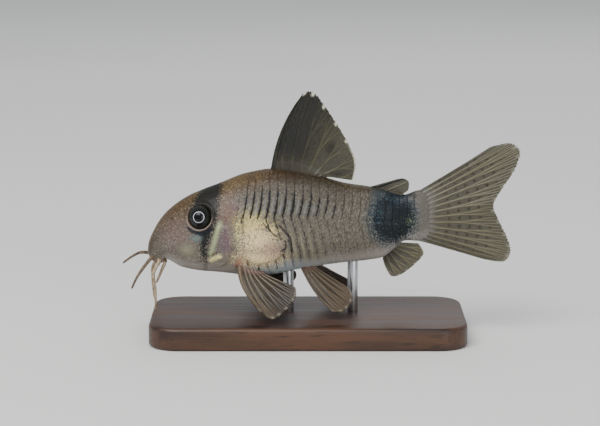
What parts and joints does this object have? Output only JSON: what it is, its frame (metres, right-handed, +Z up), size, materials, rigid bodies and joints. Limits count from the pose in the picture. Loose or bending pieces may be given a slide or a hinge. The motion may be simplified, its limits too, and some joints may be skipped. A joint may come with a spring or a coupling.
{
  "type": "corydoras catfish",
  "caption": "Small armoured catfish, life size and still, with barbels, raised flank scutes and ribbed fins, held over a flat display stand by short rods.",
  "frame": {"origin": "centre of the underside of the display stand's base", "axes": "+Z up from the base to the fish's back, +X from the head towards the tail, so the head points to -X and the fish's left side to -Y"},
  "size_m": [0.0537, 0.021, 0.0329],
  "materials": {
    "flesh": "wet scaleless skin over bony scutes",
    "fins": "thin smoky membrane between pale rays",
    "feelers": "soft wet skin",
    "eyes": "wet eye with a thin silver ring round the pupil",
    "base": "dark stained wood, satin",
    "rods": "satin"
  },
  "bodies": {
    "root": {"head": "flesh", "torso": "flesh", "tail_stem": "flesh", "eye_left": "eyes", "eye_right": "eyes", "dorsal_fin": "fins", "adipose_fin": "fins", "caudal_fin": "fins", "anal_fin": "fins", "pectoral_fin_left": "fins", "pectoral_fin_right": "fins", "pelvic_fin_left": "fins", "pelvic_fin_right": "fins", "upper_barbel_left": "feelers", "upper_barbel_right": "feelers", "lower_barbel_left": "feelers", "lower_barbel_right": "feelers", "chin_barbel_left": "feelers", "chin_barbel_right": "feelers", "stand_base": "base", "stand_rod_front": "rods", "stand_rod_rear": "rods"}
  },
  "joints": []
}
